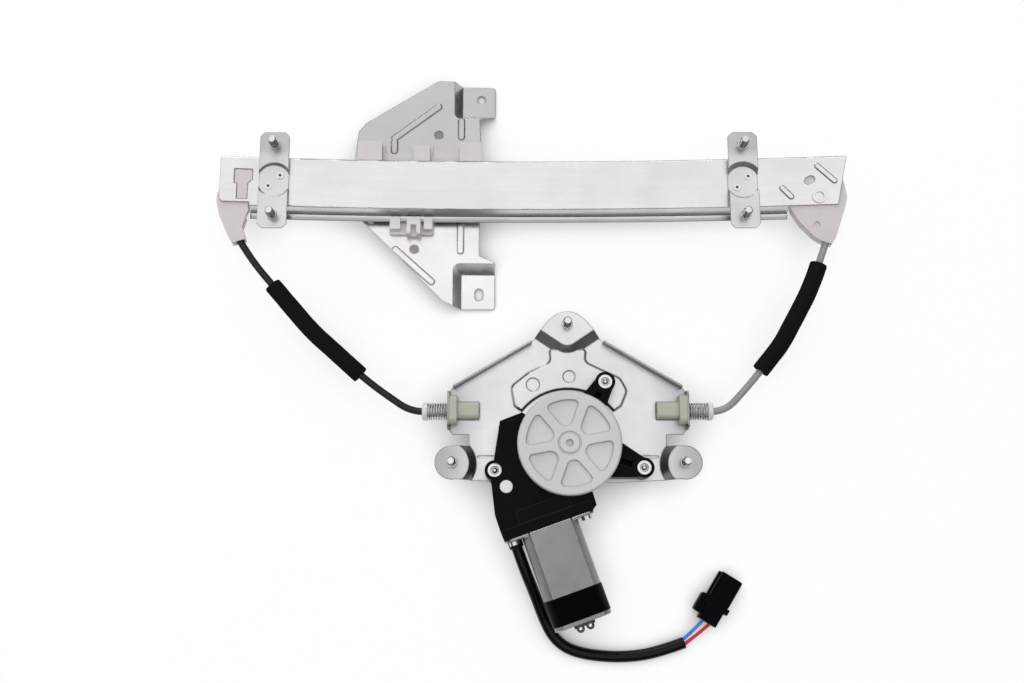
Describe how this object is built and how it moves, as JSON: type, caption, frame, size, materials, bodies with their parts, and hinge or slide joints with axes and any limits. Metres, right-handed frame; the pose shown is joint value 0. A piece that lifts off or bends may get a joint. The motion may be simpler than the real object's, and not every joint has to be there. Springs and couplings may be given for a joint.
{
  "type": "window regulator",
  "caption": "Cable-driven power window regulator: a bowed guide rail with a sliding glass carrier, two sprung Bowden cables and a worm gear motor on a pressed plate.",
  "frame": {"origin": "on the surface that the regulator rests on, under the middle of its bounding box without the wiring", "axes": "+X along the guide rail, +Y from the motor to the rail, +Z to the inner side of the door, along the mounting studs"},
  "size_m": [0.4359, 0.4075, 0.0505],
  "materials": {
    "rail_steel": "bright zinc-plated rolled steel, finely brushed along its length",
    "zinc_steel": "bright zinc-plated pressed steel, satin",
    "bright_steel": "bright turned steel",
    "guide_plastic": "warm white acetal, satin",
    "slider_plastic": "natural white acetal, satin",
    "cream_plastic": "cream nylon, satin",
    "black_conduit": "black conduit skin",
    "grey_conduit": "grey conduit skin",
    "cable_steel": "galvanised steel strand",
    "foam": "black closed-cell foam",
    "spring_steel": "bright spring steel",
    "nipple_zinc": "zinc casting",
    "housing_plastic": "black glass-filled nylon",
    "cover_grey": "light grey pressed cover, satin",
    "can_steel": "plated drawn steel",
    "band_black": "black sleeve",
    "rest_plastic": "dark grey plastic",
    "magnet": "dark ferrite",
    "brown_plastic": "brown phenolic",
    "carbon": "copper graphite",
    "armature_steel": "steel shaft, laminations and copper windings",
    "wheel_plastic": "natural acetal",
    "drum_plastic": "natural acetal",
    "harness_rubber": "soft black vinyl sheath",
    "blue_insulation": "blue wire insulation",
    "red_insulation": "red wire insulation",
    "connector_plastic": "black moulded plastic",
    "pin_brass": "tinned brass"
  },
  "bodies": {
    "frame": {"rail": "rail_steel", "left_strap": "zinc_steel", "right_strap": "zinc_steel", "strap_studs": "bright_steel", "strap_rivets": "bright_steel", "guide_rivet": "bright_steel", "left_cable_guide": "guide_plastic", "right_cable_guide": "guide_plastic", "left_ferrule": "bright_steel", "right_ferrule": "bright_steel", "left_conduit": "black_conduit", "right_conduit": "grey_conduit", "left_conduit_cable": "cable_steel", "right_conduit_cable": "cable_steel", "left_foam_sleeve": "foam", "right_foam_sleeve": "foam", "left_drum_cable": "cable_steel", "right_drum_cable": "cable_steel", "left_plate_bush": "cream_plastic", "right_plate_bush": "cream_plastic", "left_tension_sleeve": "slider_plastic", "right_tension_sleeve": "slider_plastic", "left_tension_spring": "spring_steel", "right_tension_spring": "spring_steel", "rail_cable": "cable_steel", "motor_plate": "zinc_steel", "plate_studs": "bright_steel", "gear_housing": "housing_plastic", "gear_cover": "cover_grey", "boss_sleeves": "bright_steel", "housing_screws": "bright_steel", "housing_plug": "slider_plastic", "drum_housing": "housing_plastic", "motor_can": "can_steel", "motor_band": "band_black", "motor_end_rest": "rest_plastic", "motor_screws": "bright_steel", "motor_magnets": "magnet", "brush_holder": "brown_plastic", "brushes": "carbon", "harness_grommet": "harness_rubber", "harness_sheath": "harness_rubber", "blue_wire": "blue_insulation", "red_wire": "red_insulation", "connector_housing": "connector_plastic", "connector_pins": "pin_brass"},
    "carrier": {"carrier_plate": "zinc_steel", "upper_slider": "slider_plastic", "lower_slider": "slider_plastic", "cable_holder": "slider_plastic", "cable_nipples": "nipple_zinc"},
    "drum": {"worm_wheel": "wheel_plastic", "output_shaft": "bright_steel", "cable_drum": "drum_plastic", "drum_windings": "cable_steel"},
    "armature": {"armature": "armature_steel"}
  },
  "joints": [
    {"name": "carrier_travel", "type": "hinge", "parent": "frame", "child": "carrier", "pos_m": [0, 0.1093, 2.128], "axis": [0, -1, 0], "range_deg": [-2.02, 5.3]},
    {"name": "drum_spin", "type": "hinge", "parent": "frame", "child": "drum", "pos_m": [0.0243, -0.0731, 0.02], "axis": [0, 0, 1], "range_deg": [-203.25, 531.45]},
    {"name": "armature_spin", "type": "hinge", "parent": "frame", "child": "armature", "pos_m": [-0.00426, -0.08321, 0.031], "axis": [-0.3338, 0.9426, 0], "range_deg": [-12168, 31860]}
  ],
  "couplings": [
    {"joint": "drum_spin", "follows": "carrier_travel", "ratio": 100.27},
    {"joint": "armature_spin", "follows": "carrier_travel", "ratio": 6016.3}
  ]
}
